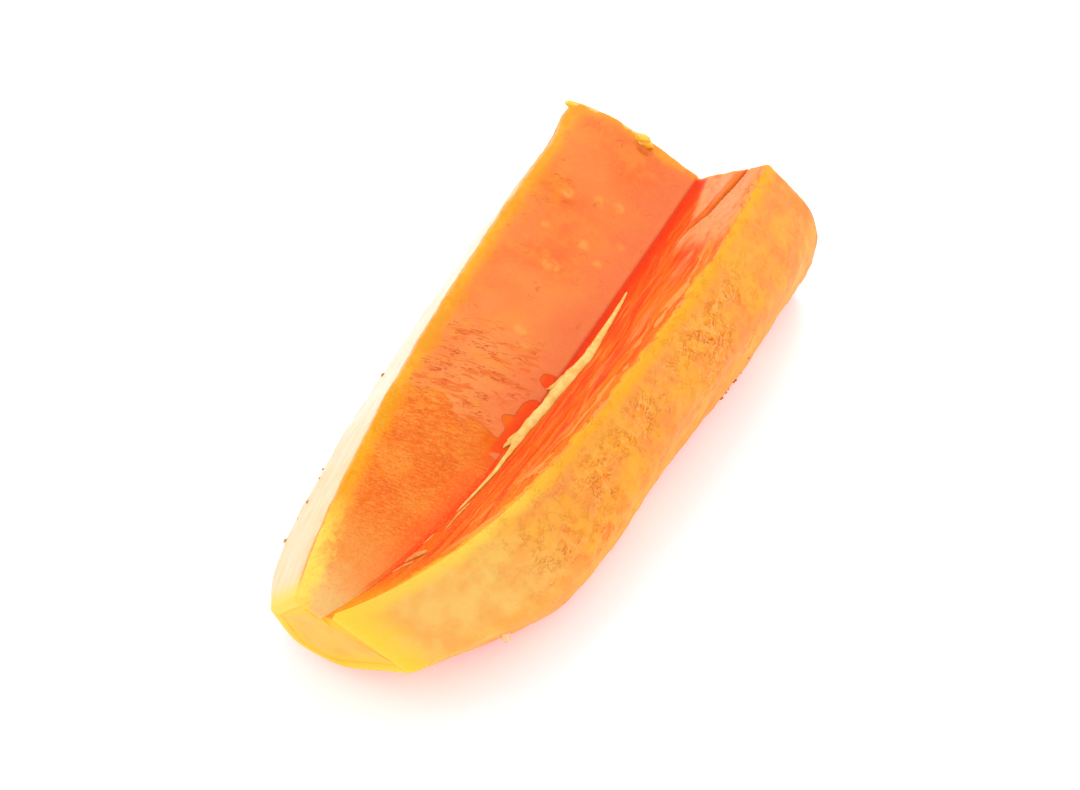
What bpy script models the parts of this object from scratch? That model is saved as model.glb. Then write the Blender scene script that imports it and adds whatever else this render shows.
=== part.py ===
"""A peeled piece of papaya, cut lengthwise from the fruit.

The piece is lofted from cross-sections that stand along the length. Each section is the pared
outside of the fruit, a soft-cornered polygon with one side for each long knife stroke, less the
open trough on top. The trough has two walls that meet in the groove: the wide cut face on the left
and, on the right, the wall that kept the lining of the seed cavity. The far end is cut square
across, and the near end has the blunt cut of the blossom end.

Units are metres, +Z up, +Y away along the length, and the origin is on the ground under the middle.
"""

import math

import bmesh
import bpy
from mathutils import Matrix, Vector, noise

MM = 0.001

# Length. The stations run from the square far cut to the blunt near end.
FAR_Y = 91.5 * MM
NEAR_Y = -96.0 * MM  # where the loft ends, just past the blunt cut
BLUNT_Y = -87.7 * MM  # the blunt cut, at the height of the groove
BLUNT_LEAN = math.radians(7.9)  # its foot is set back by this much from upright
STATIONS = 66

# The fruit's own axis. It bends to the left towards the blossom end.
GROOVE_Z = 31.0 * MM  # height of the groove above the ground, before the piece is set down
AXIS_X = -1.0 * MM
AXIS_Z = GROOVE_Z - 7.0 * MM
AXIS_BEND = 9.8 * MM

# Knife strokes of the peeling: direction that the stroke faces, in degrees from +X towards +Z,
# its distance from the axis at the far cut, how far from that cut it would close on the axis, and
# how late it starts to close in.
STROKES = {
    "left_upper": (146, 39.0 * MM, 198.6 * MM, 1.4),
    "left_side": (172, 41.7 * MM, 229.4 * MM, 3.6),
    "left_under": (198, 44.5 * MM, 235.0 * MM, 3.8),
    "left_lower": (224, 38.5 * MM, 224.3 * MM, 3.9),
    "left_belly": (247, 30.0 * MM, 209.3 * MM, 3.1),
    "belly": (270, 23.5 * MM, 243.3 * MM, 4.8),
    "right_lower": (309, 43.8 * MM, 205.8 * MM, 4.7),
    "right_side": (345, 41.2 * MM, 245.3 * MM, 7.0),
    "right_upper": (18, 48.3 * MM, 232.9 * MM, 6.3),
    "right_top": (56, 35.6 * MM, 182.0 * MM, 3.6),
}
CORNER_SHARPNESS = 14.4  # higher makes the edges between the strokes crisper
NARROW_FROM_Y = 42.0 * MM  # beyond this the right side draws in again towards the far cut
NARROW_SHARE = {"right_upper": 0.19, "right_top": 0.15}
BELLY_ROCK = 1.8 * MM  # how far the belly rises at the far cut
BELLY_LOW_Y = 22.0 * MM  # where the belly is lowest

# Slanting strokes that trim the near end: direction that each faces, in degrees, its distance from
# the axis at TRIM_Y, and how much nearer to the axis it comes for each metre towards the near end.
TRIM_Y = -70.0 * MM
TRIMS = {
    "nose": (326.5, 26.5 * MM, 0.51),
    "heel": (207.7, 31.3 * MM, 0.82),
    "toe": (302.6, 24.0 * MM, 0.71),
}
TRIM_NEAREST = 4.0 * MM
TRIM_SHARPNESS = 30.0

# The open trough
GROOVE_X = 1.7 * MM
GROOVE_BEND = 13.1 * MM
GROOVE_BEND_POWER = 5.5
FACE_SLOPE = math.radians(17.0)  # the wide cut face rises to the left
LINING_SLOPE = math.radians(36.0)  # the wall with the lining rises to the right
FACE_CROWN = 0.9 * MM  # the cut face stands proud of a straight line by this
FAR_CROWN = 2.8 * MM  # and by this at the far cut
FAR_CROWN_FROM_Y = 40.0 * MM
FACE_STEPS = 14
LINING_STEPS = 12
OUTSIDE_STEPS = 40
OUTSIDE_SAMPLES = 200  # taken round the outside before it is divided evenly

# Relief
SURFACE_NOISE = 0.35 * MM
SURFACE_NOISE_SIZE = 11.0 * MM
LINING_RIB = 0.45 * MM  # height of the ribs that run along the lining
LINING_RIBS = 3.5
DRAG_WAVE = 0.22 * MM  # waves that the knife left across the cut face
DRAG_WAVE_PITCH = 9.0 * MM
STROKE_WAVE = -0.6 * MM  # the peeling strokes are uneven along the right side
STROKE_WAVE_PITCH = 74.0 * MM
STROKE_WAVE_Y = 13.0 * MM

# Flat spot under the belly that the piece rests on
REST_CUT = 0.55 * MM

# Pale strand left from the seed cavity, lying beside the groove
STRAND_FAR_Y = 40.0 * MM
STRAND_NEAR_Y = -38.0 * MM
STRAND_THICKEST_Y = 6.0 * MM
STRAND_RADIUS = 1.15 * MM
STRAND_OFFSET = 1.9 * MM  # to the right of the groove
STRAND_LIFT = 0.4 * MM  # of its middle above the wall
STRAND_POINTS = 22

# Small lumps: name, place and half-sizes. The place is in the frame of the sections.
LUMPS = {
    "far_edge_flake": ((-14.0 * MM, 89.7 * MM, 37.9 * MM), (2.6 * MM, 1.6 * MM, 1.6 * MM)),
    "corner_flap": ((-37.4 * MM, 90.2 * MM, 42.1 * MM), (2.8 * MM, 1.3 * MM, 1.3 * MM)),
    "hanging_blob": ((22.6 * MM, -60.6 * MM, 14.9 * MM), (1.3 * MM, 1.1 * MM, 1.6 * MM)),
}

FLESH_COLOUR = (0.93, 0.27, 0.05, 1.0)
FLESH_ROUGHNESS = 0.32


def clear_scene():
    for old in list(bpy.data.objects):
        bpy.data.objects.remove(old, do_unlink=True)


def new_collection(name):
    made = bpy.data.collections.new(name)
    bpy.context.scene.collection.children.link(made)
    return made


def flesh_material():
    made = bpy.data.materials.new("papaya_flesh")
    made.use_nodes = True
    shader = made.node_tree.nodes["Principled BSDF"]
    shader.inputs["Base Color"].default_value = FLESH_COLOUR
    shader.inputs["Roughness"].default_value = FLESH_ROUGHNESS
    shader.inputs["Metallic"].default_value = 0.0
    return made


# --- tracks along the length ---------------------------------------------------------------------


def share_to_tip(y):
    """0 at the far cut and 1 at the blunt near end."""
    return max(0.0, (FAR_Y - y) / (FAR_Y - BLUNT_Y))


def axis_x(y):
    return AXIS_X - AXIS_BEND * share_to_tip(y)


def groove_point(y):
    x = GROOVE_X - GROOVE_BEND * share_to_tip(y) ** GROOVE_BEND_POWER
    return x, GROOVE_Z - math.tan(FACE_SLOPE) * x


def stroke_distance(name, y):
    """Distance of one peeling stroke from the axis at this station."""
    _, distance, reach, lateness = STROKES[name]
    run = min(1.0, (FAR_Y - y) / reach)
    distance *= math.sqrt(max(0.01, 1 - max(0.0, run) ** lateness))
    past = max(0.0, (y - NARROW_FROM_Y) / (FAR_Y - NARROW_FROM_Y))
    distance *= 1 - NARROW_SHARE.get(name, 0.0) * past**2
    if name == "belly":
        distance -= BELLY_ROCK * ((y - BELLY_LOW_Y) / (FAR_Y - BELLY_LOW_Y)) ** 2
    if name == "right_side":
        distance += STROKE_WAVE * math.cos(math.tau * (y - STROKE_WAVE_Y) / STROKE_WAVE_PITCH)
    return distance


def trim_distance(distance, slope, y):
    return max(TRIM_NEAREST, distance + (y - TRIM_Y) * slope)


# --- one section ---------------------------------------------------------------------------------


def outside_point(angle, y):
    """Point of the pared outside at this angle round the axis."""
    total = 0.0
    for name, stroke in STROKES.items():
        facing = max(0.0, math.cos(angle - math.radians(stroke[0])))
        total += (facing / stroke_distance(name, y)) ** CORNER_SHARPNESS
    total **= TRIM_SHARPNESS / CORNER_SHARPNESS
    for direction, distance, slope in TRIMS.values():
        facing = max(0.0, math.cos(angle - math.radians(direction)))
        total += (facing / trim_distance(distance, slope, y)) ** TRIM_SHARPNESS
    radius = total ** (-1 / TRIM_SHARPNESS)
    return axis_x(y) + radius * math.cos(angle), AXIS_Z + radius * math.sin(angle)


def meeting_angle(y, slope, inside, outside):
    """Angle at which the outside crosses a trough wall, halved in between the two angles."""
    groove = groove_point(y)
    for _ in range(30):
        middle = (inside + outside) / 2
        x, z = outside_point(middle, y)
        if z - groove[1] > slope * (x - groove[0]):
            inside = middle
        else:
            outside = middle
    return (inside + outside) / 2


def face_crown(y):
    past = min(1.0, max(0.0, (y - FAR_CROWN_FROM_Y) / (FAR_Y - FAR_CROWN_FROM_Y)))
    return FACE_CROWN + (FAR_CROWN - FACE_CROWN) * past * past * (3 - 2 * past)


def face_point(start, groove, share, y):
    """The wide cut face, from its outer edge at share 0 to the groove at share 1."""
    x = start[0] + (groove[0] - start[0]) * share
    z = start[1] + (groove[1] - start[1]) * share
    z += face_crown(y) * math.sin(math.pi * share**0.7)
    z += DRAG_WAVE * math.sin(math.tau * (y + x * 0.25) / DRAG_WAVE_PITCH) * math.sin(math.pi * share)
    return x, z


def lining_point(groove, end, share, y):
    """The wall with the lining, from the groove at share 0 to the rim at share 1."""
    x = groove[0] + (end[0] - groove[0]) * share
    z = groove[1] + (end[1] - groove[1]) * share
    fade = math.sin(math.pi * share)
    ribs = math.cos(math.tau * LINING_RIBS * share + 12.0 * y)
    return x, z + LINING_RIB * ribs * fade * min(1.0, abs(end[0] - groove[0]) / (10 * MM))


def outside_points(start, end, y):
    """Points at even spacing along the pared outside, from the rim round under the fruit."""
    angles = [start + (end - start) * k / OUTSIDE_SAMPLES for k in range(OUTSIDE_SAMPLES + 1)]
    samples = [outside_point(angle, y) for angle in angles]
    run = [0.0]
    for before, after in zip(samples, samples[1:]):
        run.append(run[-1] + math.dist(before, after))
    points = []
    at = 0
    for k in range(OUTSIDE_STEPS):
        target = run[-1] * k / OUTSIDE_STEPS
        while run[at + 1] < target:
            at += 1
        share = (target - run[at]) / (run[at + 1] - run[at])
        (x0, z0), (x1, z1) = samples[at], samples[at + 1]
        points.append((x0 + (x1 - x0) * share, z0 + (z1 - z0) * share))
    return points


def section_points(y):
    left = meeting_angle(y, -math.tan(FACE_SLOPE), math.radians(95), math.radians(200))
    right = meeting_angle(y, math.tan(LINING_SLOPE), math.radians(85), math.radians(-20))
    groove = groove_point(y)
    ridge = outside_point(left, y)
    rim = outside_point(right, y)
    points = [face_point(ridge, groove, k / FACE_STEPS, y) for k in range(FACE_STEPS)]
    points += [lining_point(groove, rim, k / LINING_STEPS, y) for k in range(LINING_STEPS)]
    points += outside_points(right, left - math.tau, y)
    return [Vector((x, y, z)) for x, z in points]


# --- the body ------------------------------------------------------------------------------------


def station_places():
    """Stations lie closer together towards the near end, where the shape turns faster."""
    for k in range(STATIONS):
        yield NEAR_Y + (FAR_Y - NEAR_Y) * (1 - math.cos(math.pi / 2 * k / (STATIONS - 1)))


def loft(sections):
    mesh = bmesh.new()
    rings = [[mesh.verts.new(point) for point in section] for section in sections]
    count = len(rings[0])
    for near, far in zip(rings, rings[1:]):
        for k in range(count):
            after = (k + 1) % count
            mesh.faces.new((near[k], near[after], far[after], far[k]))
    mesh.faces.new(list(reversed(rings[0])))
    mesh.faces.new(rings[-1])
    bmesh.ops.recalc_face_normals(mesh, faces=mesh.faces)
    return mesh


def roughen(mesh):
    """Small swells all over, square to the surface, but none on the far cut's own plane."""
    mesh.normal_update()
    moves = []
    for vert in mesh.verts:
        swell = noise.noise(vert.co / SURFACE_NOISE_SIZE)
        moves.append(vert.normal * SURFACE_NOISE * swell)
    for vert, move in zip(mesh.verts, moves):
        if vert.co.y > FAR_Y - MM:
            move.y = 0.0
        vert.co += move


def slice_off(mesh, point, normal):
    """Cuts away what lies on the normal's side of a plane and closes the cut."""
    everything = mesh.verts[:] + mesh.edges[:] + mesh.faces[:]
    cut = bmesh.ops.bisect_plane(
        mesh, geom=everything, dist=1e-6, plane_co=point, plane_no=normal, clear_outer=True
    )
    rim = [item for item in cut["geom_cut"] if isinstance(item, bmesh.types.BMEdge)]
    bmesh.ops.edgeloop_fill(mesh, edges=rim)
    bmesh.ops.recalc_face_normals(mesh, faces=mesh.faces)


def cut_blunt_end(mesh):
    point = Vector((0, BLUNT_Y, GROOVE_Z))
    slice_off(mesh, point, Vector((0, -math.cos(BLUNT_LEAN), -math.sin(BLUNT_LEAN))))


def cut_rest_spot(mesh):
    lowest = min(vert.co.z for vert in mesh.verts)
    slice_off(mesh, Vector((0, 0, lowest + REST_CUT)), Vector((0, 0, -1)))


def flesh_body(collection):
    mesh = loft([section_points(y) for y in station_places()])
    roughen(mesh)
    cut_blunt_end(mesh)
    cut_rest_spot(mesh)
    data = bpy.data.meshes.new("papaya_flesh")
    mesh.to_mesh(data)
    mesh.free()
    made = bpy.data.objects.new("papaya_flesh", data)
    collection.objects.link(made)
    return made


# --- the strand ----------------------------------------------------------------------------------


def strand_place(y):
    x, z = groove_point(y)
    waver = 0.5 * MM * math.sin(y / (7.0 * MM))
    x += STRAND_OFFSET + waver
    z += (STRAND_OFFSET + waver) * math.tan(LINING_SLOPE) + STRAND_LIFT
    return x, y, z


def strand_girth(y):
    """1 at the thickest place, thinning to both tips."""
    end = STRAND_FAR_Y if y > STRAND_THICKEST_Y else STRAND_NEAR_Y
    return 0.25 + 0.75 * (1 - (y - STRAND_THICKEST_Y) / (end - STRAND_THICKEST_Y)) ** 0.7


def strand_piece(collection):
    curve = bpy.data.curves.new("cavity_strand", "CURVE")
    curve.dimensions = "3D"
    curve.bevel_depth = STRAND_RADIUS
    curve.bevel_resolution = 2
    curve.use_fill_caps = True
    spline = curve.splines.new("POLY")
    spline.points.add(STRAND_POINTS - 1)
    for k, point in enumerate(spline.points):
        y = STRAND_NEAR_Y + (STRAND_FAR_Y - STRAND_NEAR_Y) * k / (STRAND_POINTS - 1)
        point.co = (*strand_place(y), 1.0)
        point.radius = strand_girth(y)
    path = bpy.data.objects.new("cavity_strand_path", curve)
    collection.objects.link(path)
    bpy.context.view_layer.update()
    graph = bpy.context.evaluated_depsgraph_get()
    data = bpy.data.meshes.new_from_object(path.evaluated_get(graph))
    bpy.data.objects.remove(path, do_unlink=True)
    mesh = bmesh.new()
    mesh.from_mesh(data)
    bmesh.ops.remove_doubles(mesh, verts=mesh.verts, dist=1e-6)
    bmesh.ops.recalc_face_normals(mesh, faces=mesh.faces)
    mesh.to_mesh(data)
    mesh.free()
    made = bpy.data.objects.new("cavity_strand", data)
    collection.objects.link(made)
    return made


def lump_pieces(collection):
    for name, (place, size) in LUMPS.items():
        mesh = bmesh.new()
        bmesh.ops.create_icosphere(mesh, subdivisions=2, radius=1.0)
        bmesh.ops.scale(mesh, vec=size, verts=mesh.verts)
        bmesh.ops.translate(mesh, vec=place, verts=mesh.verts)
        data = bpy.data.meshes.new(name)
        mesh.to_mesh(data)
        mesh.free()
        collection.objects.link(bpy.data.objects.new(name, data))


def fuse(body, collection):
    """Joins everything in the collection to the body and removes the joined objects."""
    join = body.modifiers.new("fuse", "BOOLEAN")
    join.operation = "UNION"
    join.operand_type = "COLLECTION"
    join.collection = collection
    join.solver = "EXACT"
    bpy.context.view_layer.update()
    graph = bpy.context.evaluated_depsgraph_get()
    fused = bpy.data.meshes.new_from_object(body.evaluated_get(graph))
    body.modifiers.clear()
    body.data = fused
    for piece in list(collection.objects):
        bpy.data.objects.remove(piece, do_unlink=True)
    bpy.data.collections.remove(collection)


def set_down(body):
    """Moves the mesh so that its box stands on the ground, centred on the origin."""
    corners = [vert.co for vert in body.data.vertices]
    low = Vector([min(corner[k] for corner in corners) for k in range(3)])
    high = Vector([max(corner[k] for corner in corners) for k in range(3)])
    middle = (low + high) / 2
    body.data.transform(Matrix.Translation(Vector((-middle.x, -middle.y, -low.z))))


def main():
    clear_scene()
    parts = new_collection("papaya_slice")
    relief = new_collection("relief")
    body = flesh_body(parts)
    strand_piece(relief)
    lump_pieces(relief)
    fuse(body, relief)
    set_down(body)
    body.data.materials.clear()
    body.data.materials.append(flesh_material())
    body.data.shade_smooth()
    body.data.set_sharp_from_angle(angle=math.radians(35))


main()
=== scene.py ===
"""The looks of a peeled piece of papaya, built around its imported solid.

The flesh is lofted again from the same named strokes and walls as the solid, but finely, so that
each vertex knows which face it is on and how far it lies from the groove, the ridge and the rim.
Relief is pressed into that mesh, and the same distances steer the colours of its material.

Sizes are in millimetres in the frame of the sections and become metres in the row's frame when a
mesh is made. +X is right, +Y is away along the length and +Z is up. A place on the trough's walls
is given as (across, along): across is the way from the groove over the surface, negative on the
wide cut face and positive on the wall with the lining, and along is Y.
"""

import math
from functools import reduce
from itertools import product

import bpy
import numpy as np
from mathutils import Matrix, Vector


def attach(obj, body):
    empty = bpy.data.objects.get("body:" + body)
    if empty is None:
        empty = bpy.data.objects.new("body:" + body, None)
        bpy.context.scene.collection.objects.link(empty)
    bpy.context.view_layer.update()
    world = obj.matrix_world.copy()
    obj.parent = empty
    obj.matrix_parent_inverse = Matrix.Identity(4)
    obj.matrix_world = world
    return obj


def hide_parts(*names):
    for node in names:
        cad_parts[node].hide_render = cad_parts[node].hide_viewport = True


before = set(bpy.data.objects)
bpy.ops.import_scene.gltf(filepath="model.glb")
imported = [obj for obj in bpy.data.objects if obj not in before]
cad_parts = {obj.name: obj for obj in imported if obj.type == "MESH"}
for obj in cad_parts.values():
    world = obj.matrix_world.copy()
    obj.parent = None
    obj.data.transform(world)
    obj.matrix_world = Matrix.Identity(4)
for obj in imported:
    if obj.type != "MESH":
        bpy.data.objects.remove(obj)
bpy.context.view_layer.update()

MM = 0.001
SET_DOWN = np.array([2.388, -1.537, -0.896])  # from the sections' frame to the row's

# --- the shape's named values, as in the solid ---

FAR_Y = 91.5
BLUNT_Y = -87.7
BLUNT_LEAN = math.radians(7.9)
GROOVE_Z = 31.0
AXIS_X = -1.0
AXIS_Z = GROOVE_Z - 7.0
AXIS_BEND = 9.8
STROKES = {
    "left_upper": (146, 39.0, 198.6, 1.4),
    "left_side": (172, 41.7, 229.4, 3.6),
    "left_under": (198, 44.5, 235.0, 3.8),
    "left_lower": (224, 38.5, 224.3, 3.9),
    "left_belly": (247, 30.0, 209.3, 3.1),
    "belly": (270, 23.5, 243.3, 4.8),
    "right_lower": (309, 43.8, 205.8, 4.7),
    "right_side": (345, 41.2, 245.3, 7.0),
    "right_upper": (18, 48.3, 232.9, 6.3),
    "right_top": (56, 35.6, 182.0, 3.6),
}
CORNER_SHARPNESS = 14.4
NARROW_FROM_Y = 42.0
NARROW_SHARE = {"right_upper": 0.19, "right_top": 0.15}
BELLY_ROCK = 1.8
BELLY_LOW_Y = 22.0
TRIM_Y = -70.0
TRIMS = {"nose": (326.5, 26.5, 0.51), "heel": (207.7, 31.3, 0.82), "toe": (302.6, 24.0, 0.71)}
TRIM_NEAREST = 4.0
TRIM_SHARPNESS = 30.0
GROOVE_X = 1.7
GROOVE_BEND = 13.1
GROOVE_BEND_POWER = 5.5
FACE_SLOPE = math.radians(17.0)
LINING_SLOPE = math.radians(36.0)
FACE_CROWN = 0.9
FAR_CROWN = 2.8
FAR_CROWN_FROM_Y = 40.0
LINING_RIB = 0.2
LINING_RIBS = 3.5
STROKE_WAVE = -0.6
STROKE_WAVE_PITCH = 74.0
STROKE_WAVE_Y = 13.0

# --- the fine grid: rows run from the far cut to the blunt end, columns run round ---

ROWS = 300
END_ROWS = 8
FAR_ROUND = 0.9  # radius of the edge round each cut
NEAR_ROUND = 1.9
FACE_COLUMNS = 74
LINING_COLUMNS = 60
RIGHT_COLUMNS = 92
UNDER_COLUMNS = 30
LEFT_COLUMNS = 36
RIGHT_SHARE = 0.36  # of the way round the outside, down to where the piece turns under
UNDER_SHARE = 0.76  # where the left side begins
LEAN_FROM = 0.82  # share of the rows after which they tilt to meet the blunt cut
CAP_RINGS = 14
TABLE_STEPS = 900
SOFTENING = 3  # rounds of smoothing that take the edge off the ridge, the groove and the rim


def share_to_tip(y):
    return np.maximum(0, (FAR_Y - y) / (FAR_Y - BLUNT_Y))


def axis_x(y):
    return AXIS_X - AXIS_BEND * share_to_tip(y)


def groove_x(y):
    return GROOVE_X - GROOVE_BEND * share_to_tip(y) ** GROOVE_BEND_POWER


def groove_z(y):
    return GROOVE_Z - math.tan(FACE_SLOPE) * groove_x(y)


def stroke_distance(name, y):
    _, distance, reach, lateness = STROKES[name]
    run = np.clip((FAR_Y - y) / reach, 0, 1)
    distance = distance * np.sqrt(np.maximum(0.01, 1 - run**lateness))
    past = np.maximum(0, (y - NARROW_FROM_Y) / (FAR_Y - NARROW_FROM_Y))
    distance = distance * (1 - NARROW_SHARE.get(name, 0) * past**2)
    if name == "belly":
        distance = distance - BELLY_ROCK * ((y - BELLY_LOW_Y) / (FAR_Y - BELLY_LOW_Y)) ** 2
    if name == "right_side":
        turn = math.tau * (y - STROKE_WAVE_Y) / STROKE_WAVE_PITCH
        distance = distance + STROKE_WAVE * np.cos(turn)
    return distance


def outside_point(angle, y):
    """Points of the pared outside at these angles round the axis, for arrays of one shape."""
    total = 0
    for name, stroke in STROKES.items():
        facing = np.maximum(0, np.cos(angle - math.radians(stroke[0])))
        total = total + (facing / stroke_distance(name, y)) ** CORNER_SHARPNESS
    total = total ** (TRIM_SHARPNESS / CORNER_SHARPNESS)
    for direction, distance, slope in TRIMS.values():
        facing = np.maximum(0, np.cos(angle - math.radians(direction)))
        reach = np.maximum(TRIM_NEAREST, distance + (y - TRIM_Y) * slope)
        total = total + (facing / reach) ** TRIM_SHARPNESS
    radius = total ** (-1 / TRIM_SHARPNESS)
    return axis_x(y) + radius * np.cos(angle), AXIS_Z + radius * np.sin(angle)


def meeting_angle(y, slope, inside, outside):
    """Angles at which the outside crosses a trough wall, halved in between the two angles."""
    inside = np.full(y.shape, inside)
    outside = np.full(y.shape, outside)
    for _ in range(30):
        middle = (inside + outside) / 2
        x, z = outside_point(middle, y)
        above = z - groove_z(y) > slope * (x - groove_x(y))
        inside = np.where(above, middle, inside)
        outside = np.where(above, outside, middle)
    return (inside + outside) / 2


def step(low, high, value):
    """0 below low and 1 above high, with an eased slope between."""
    share = np.clip((value - low) / (high - low), 0, 1)
    return share * share * (3 - 2 * share)


def row_places():
    """Ways from the far cut to each row, closer together where the two ends are rounded."""
    length = FAR_Y - BLUNT_Y
    turn = 1 - np.cos(np.linspace(0, math.pi / 2, END_ROWS, endpoint=False))
    middle = np.linspace(FAR_ROUND, length - NEAR_ROUND, ROWS - 2 * END_ROWS)
    return np.concatenate([FAR_ROUND * turn, middle, length - NEAR_ROUND * turn[::-1]])


def end_inset(way, radius):
    """How far a rounded edge draws in at these ways from the cut."""
    inside = np.maximum(0, radius - way)
    return radius - np.sqrt(radius**2 - inside**2)


class Sections:
    """Where every column of the grid lies at any place along the length."""

    def __init__(self):
        self.table = np.linspace(BLUNT_Y - 9, FAR_Y + 1, TABLE_STEPS)
        slope = -math.tan(FACE_SLOPE)
        self.left = meeting_angle(self.table, slope, math.radians(95), math.radians(200))
        slope = math.tan(LINING_SLOPE)
        self.right = meeting_angle(self.table, slope, math.radians(85), math.radians(-20))
        face = np.arange(FACE_COLUMNS) / FACE_COLUMNS
        lining = np.arange(LINING_COLUMNS) / LINING_COLUMNS
        right = RIGHT_SHARE * np.arange(RIGHT_COLUMNS) / RIGHT_COLUMNS
        under = np.linspace(RIGHT_SHARE, UNDER_SHARE, UNDER_COLUMNS, endpoint=False)
        left = np.linspace(UNDER_SHARE, 1, LEFT_COLUMNS, endpoint=False)
        self.share = np.concatenate([face, lining, right, under, left])
        outside = RIGHT_COLUMNS + UNDER_COLUMNS + LEFT_COLUMNS
        self.wall = np.repeat([0, 1, 2], [FACE_COLUMNS, LINING_COLUMNS, outside])

    def points(self, y):
        """Points of the grid for an array of places, rows by columns."""
        left = np.interp(y, self.table, self.left)
        right = np.interp(y, self.table, self.right)
        ridge = np.stack(outside_point(left, y), -1)
        rim = np.stack(outside_point(right, y), -1)
        groove = np.stack([groove_x(y), groove_z(y)], -1)
        share = np.broadcast_to(self.share, y.shape)[..., None]
        face = ridge + (groove - ridge) * share
        crown = FACE_CROWN + (FAR_CROWN - FACE_CROWN) * step(FAR_CROWN_FROM_Y, FAR_Y, y)
        face[..., 1] += crown * np.sin(math.pi * share[..., 0] ** 0.7)
        lining = groove + (rim - groove) * share
        ribs = np.cos(math.tau * LINING_RIBS * share[..., 0] + 0.012 * y)
        width = np.abs(rim - groove)[..., 0]
        fade = np.sin(math.pi * share[..., 0]) * np.minimum(1, width / 10) * step(-60, -20, y)
        lining[..., 1] += LINING_RIB * ribs * fade
        angle = right + (left - math.tau - right) * share[..., 0]
        outside = np.stack(outside_point(angle, y), -1)
        wall = np.broadcast_to(self.wall, y.shape)[..., None]
        xz = np.where(wall == 0, face, np.where(wall == 1, lining, outside))
        return np.stack([xz[..., 0], y, xz[..., 1]], -1)

    def grid(self):
        """The whole outside of the piece, with its last row in the plane of the blunt cut."""
        count = len(self.share)
        end = np.full((1, count), BLUNT_Y)
        for _ in range(6):
            end = BLUNT_Y - math.tan(BLUNT_LEAN) * (self.points(end)[..., 2] - GROOVE_Z)
        row = (row_places() / (FAR_Y - BLUNT_Y))[:, None]
        bend = np.clip((row - LEAN_FROM) / (1 - LEAN_FROM), 0, 1)
        y = FAR_Y + (BLUNT_Y - FAR_Y) * row + (end - BLUNT_Y) * bend**2 * (3 - 2 * bend)
        return self.points(y)


# --- noise ---


def swell(points, seed):
    """Smooth noise from about -1 to 1 with features one unit across."""
    cell = np.floor(points).astype(np.int64)
    inside = points - cell
    ease = inside**3 * (inside * (inside * 6 - 15) + 10)
    total = np.zeros(points.shape[:-1])
    for corner in product((0, 1), repeat=3):
        at = cell + corner
        mixed = at[..., 0] * 374761393 + at[..., 1] * 668265263 + at[..., 2] * 974634777
        mixed = (mixed + seed * 144665) & 0xFFFFFFFF
        mixed = ((mixed ^ (mixed >> 13)) * 1274126177) & 0xFFFFFFFF
        mixed = mixed ^ (mixed >> 16)
        lean = np.stack([(mixed >> shift) & 1023 for shift in (0, 10, 20)], -1) / 511.5 - 1
        weight = np.prod(np.where(np.array(corner) == 1, ease, 1 - ease), -1)
        total += weight * np.sum(lean * (inside - corner), -1)
    return total * 1.35


def swells(points, size, octaves, seed):
    """Noise of several sizes, each half as wide and half as high as the last."""
    size = np.asarray(size, float)
    return sum(swell(points / size * 2**k, seed + k) / 2**k for k in range(octaves))


# --- the flesh ---


def soften(grid):
    """Rounds off the long edges a little by averaging each section with its own neighbours."""
    for _ in range(SOFTENING):
        grid = grid * 0.5 + (np.roll(grid, 1, 1) + np.roll(grid, -1, 1)) * 0.25
    return grid


def grid_normals(grid):
    """Normals that point out of the piece."""
    along = np.gradient(grid, axis=0)
    around = (np.roll(grid, -1, 1) - np.roll(grid, 1, 1)) / 2
    normal = np.cross(along, around)
    return normal / np.maximum(1e-9, np.linalg.norm(normal, axis=-1, keepdims=True))


def measures(sections, grid):
    """Distances over the surface that steer relief and colour, in mm, by name."""
    wall = np.broadcast_to(sections.wall, grid.shape[:2])
    steps = np.linalg.norm(np.roll(grid, -1, 1) - grid, axis=-1)
    run = np.cumsum(steps, 1) - steps
    groove = run[:, FACE_COLUMNS][:, None]
    rim = run[:, FACE_COLUMNS + LINING_COLUMNS][:, None]
    whole = (run[:, -1] + steps[:, -1])[:, None]
    places = row_places()[:, None] * np.ones(grid.shape[1])
    return {
        "across": run - groove,
        "along": grid[..., 1],
        "skin": np.where(wall == 0, run, np.where(wall == 1, rim - run, 0)),
        "past_rim": np.where(wall == 2, run - rim, 0),
        "past_ridge": np.where(wall == 2, whole - run, 0),
        "from_far": places,
        "from_near": places[-1] - places,
        "wall": wall.astype(float),
    }


# The wet film over the wide cut face ends in a ragged line; below it the face is matt.
FILM_END = -21
FILM_NOTCHES = [
    ((-0.9, 4.8), (2.9, 2.5)),
    ((-0.8, -7), (2.7, 4.6)),
    ((-3.3, -12.2), (2.4, 2)),
    ((-1.2, -16), (2, 6)),
]
NOTCH_BLEND = 0.7  # how softly the notches run into each other
DRAG_TURN = math.radians(19)  # the knife dragged across, turned a little towards the far end
DRAG_BAND = (-46, -22, 2, 18)  # where the drag marks begin, are full, thin out and end
FAR_DRAG = ((-31, 59), (9, 7))
FILM_THICK = 0.14
PALE_SPOTS = [
    ((-15, 48.6), 1.9),
    ((-9, 45.6), 1.3),
    ((-13, 65.6), 1.7),
    ((-26.5, 47.4), 1.4),
    ((-15.5, 13.7), 1.9),
    ((-6.4, 55), 1.2),
    ((-27, 60.5), 2),
    ((-19, 64), 1.6),
    ((-19, 37), 2.4),
    ((-12, 10), 1.5),
]
EDGE_NICK = ((-16.6, 86.4), (2.4, 1))
CRACK_ALONG = (62, 66, 68, 71.5, 80.6, 89.9, 92)
CRACK_ACROSS = (9, 10, 11.4, 14.2, 15.6, 17.8, 18.3)
CRACK_STRIP = 1.6  # half the width of the strip of deeper orange beside the crack
SHEEN_ALONG = (62, 70, 79, 91)  # left border of the pale sheen beside the crack
SHEEN_ACROSS = (11, 9.5, 7, 3.4)
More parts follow.
